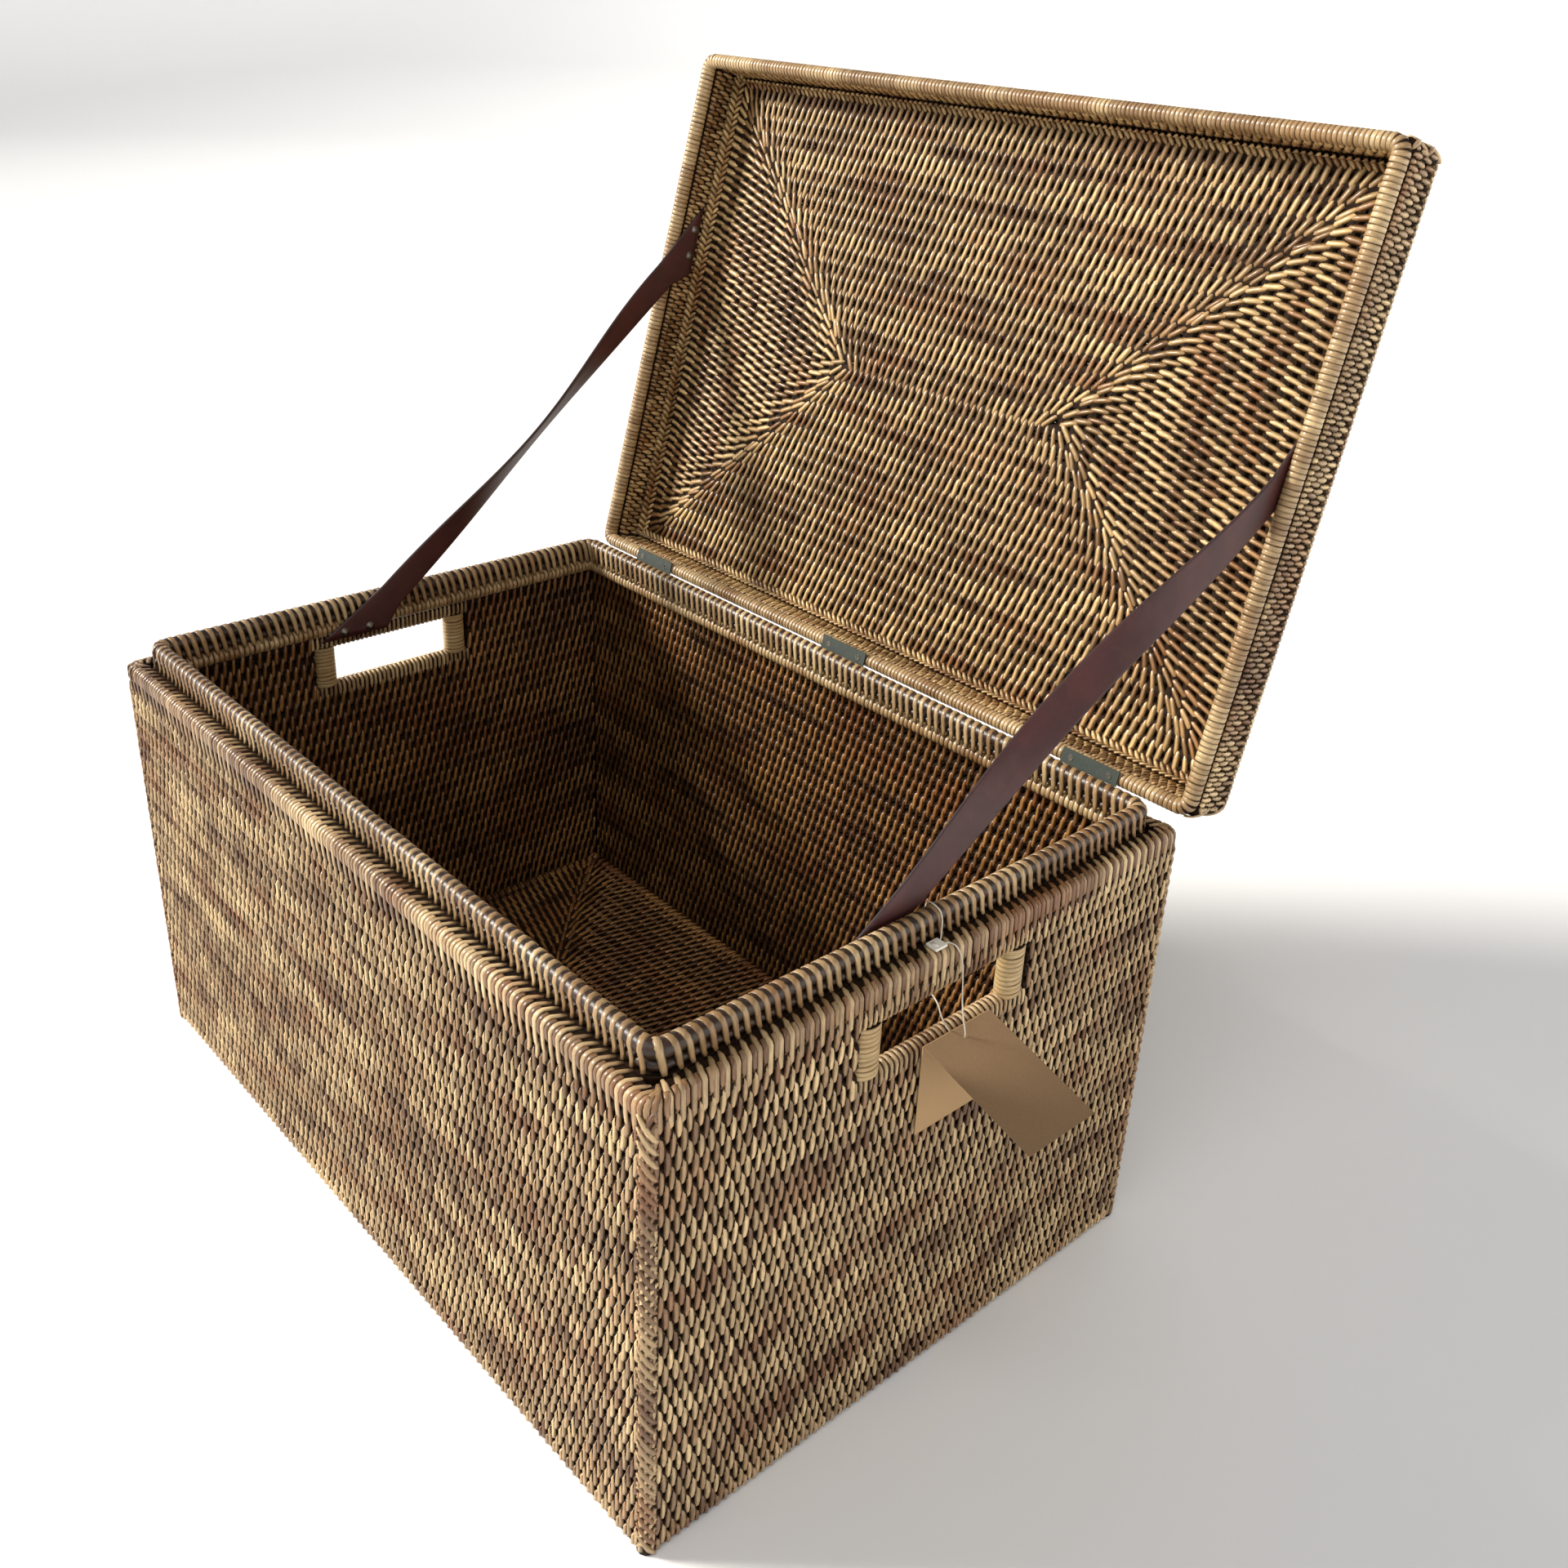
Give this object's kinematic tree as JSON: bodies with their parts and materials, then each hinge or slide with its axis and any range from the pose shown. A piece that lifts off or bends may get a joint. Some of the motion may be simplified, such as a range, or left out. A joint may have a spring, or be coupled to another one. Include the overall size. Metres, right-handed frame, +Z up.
{
  "type": "wicker storage trunk",
  "caption": "Woven rattan storage trunk with a hinged lid standing open, leather stay straps, a hand hole in each end and a folded hang tag.",
  "frame": {"origin": "centre of the trunk's foot, on the surface that it stands on", "axes": "+X along the long side to the end with the tag, +Y to the hinged back, +Z up"},
  "size_m": [0.8498, 0.6876, 0.8632],
  "materials": {
    "wicker": "satin lacquered rattan",
    "rim_rod": "dark stained rattan rod",
    "wrap_cane": "pale binding cane",
    "hinge_metal": "satin grey-green paint",
    "screw_steel": "bright",
    "rivet_steel": "aged",
    "leather": "smooth, semi-matte",
    "tag_card": "matte kraft card",
    "tag_string": "matte cotton",
    "tag_plastic": "matte"
  },
  "bodies": {
    "trunk": {"floor_panel": "wicker", "wall_front": "wicker", "wall_back": "wicker", "wall_left": "wicker", "wall_right": "wicker", "foot_rail": "wicker", "shoulder_rail": "wicker", "corner_post_front_left": "wicker", "corner_post_front_right": "wicker", "corner_post_back_left": "wicker", "corner_post_back_right": "wicker", "hole_sill_left": "wicker", "hole_sill_right": "wicker", "hole_lintel_left": "wicker", "hole_lintel_right": "wicker", "upstand_low_rail": "rim_rod", "upstand_rail": "rim_rod", "inner_rail": "wrap_cane", "sleeve_left_front": "wrap_cane", "sleeve_left_back": "wrap_cane", "sleeve_right_front": "wrap_cane", "sleeve_right_back": "wrap_cane", "hinge_leaf_body_1": "hinge_metal", "hinge_leaf_body_2": "hinge_metal", "hinge_leaf_body_3": "hinge_metal", "hinge_pin_1": "hinge_metal", "hinge_pin_2": "hinge_metal", "hinge_pin_3": "hinge_metal", "hinge_screws_body": "screw_steel", "strap_rivets_body": "rivet_steel", "strap_left": "leather", "strap_right": "leather", "tag_string": "tag_string", "tag_lock": "tag_plastic"},
    "lid": {"lid_front": "wicker", "lid_back": "wicker", "lid_left": "wicker", "lid_right": "wicker", "lid_post_front_left": "wicker", "lid_post_front_right": "wicker", "lid_post_back_left": "wicker", "lid_post_back_right": "wicker", "lid_edge_rail": "wicker", "lid_panel": "wicker", "lid_rim_rail": "wrap_cane", "hinge_leaf_lid_1": "hinge_metal", "hinge_leaf_lid_2": "hinge_metal", "hinge_leaf_lid_3": "hinge_metal", "hinge_screws_lid": "screw_steel", "strap_rivets_lid": "rivet_steel"},
    "tag_back": {"tag_back_leaf": "tag_card"},
    "tag_front": {"tag_front_leaf": "tag_card"}
  },
  "joints": [
    {"name": "lid_hinge", "type": "hinge", "parent": "trunk", "child": "lid", "pos_m": [0, 0.253, 0.3787], "axis": [1, 0, 0], "range_deg": [0, 105], "deforming": ["strap_left", "strap_right"]},
    {"name": "tag_swing", "type": "hinge", "parent": "trunk", "child": "tag_back", "pos_m": [0.37835, 0.007, 0.3045], "axis": [1, 0, 0], "range_deg": [-20, 20], "deforming": ["tag_string"]},
    {"name": "tag_fold", "type": "hinge", "parent": "tag_back", "child": "tag_front", "pos_m": [0.379, 0.007, 0.3115], "axis": [0, 1, 0], "range_deg": [-14, 70], "deforming": ["tag_string"]}
  ]
}
